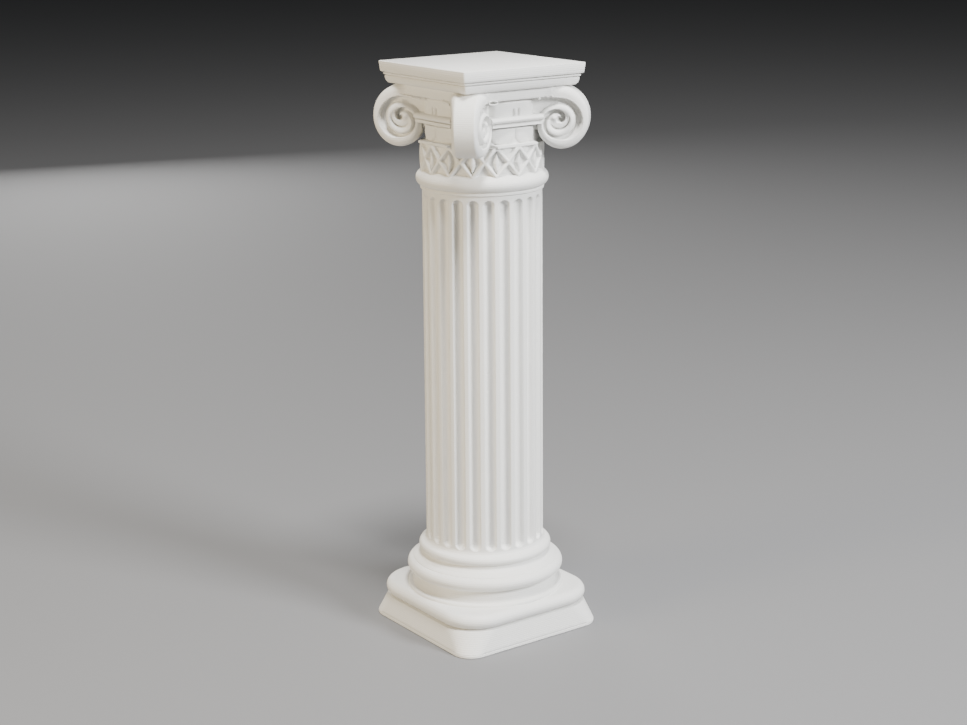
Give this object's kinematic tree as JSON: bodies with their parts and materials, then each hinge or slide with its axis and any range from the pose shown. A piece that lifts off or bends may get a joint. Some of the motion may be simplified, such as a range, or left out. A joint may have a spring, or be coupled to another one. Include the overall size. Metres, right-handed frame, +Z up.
{
  "type": "ionic column",
  "caption": "Small printed model of an Ionic column: square plinth, moulded base, fluted shaft, lattice necking and a capital with diagonal volutes under a square abacus",
  "frame": {"origin": "centre of the plinth's underside, on the column's axis", "axes": "+Z up along the column's axis, X and Y parallel to the sides of the abacus and plinth"},
  "size_m": [0.036, 0.036, 0.12],
  "materials": {
    "white_plastic": "matte"
  },
  "bodies": {
    "root": {"ionic_column": "white_plastic"}
  },
  "joints": []
}
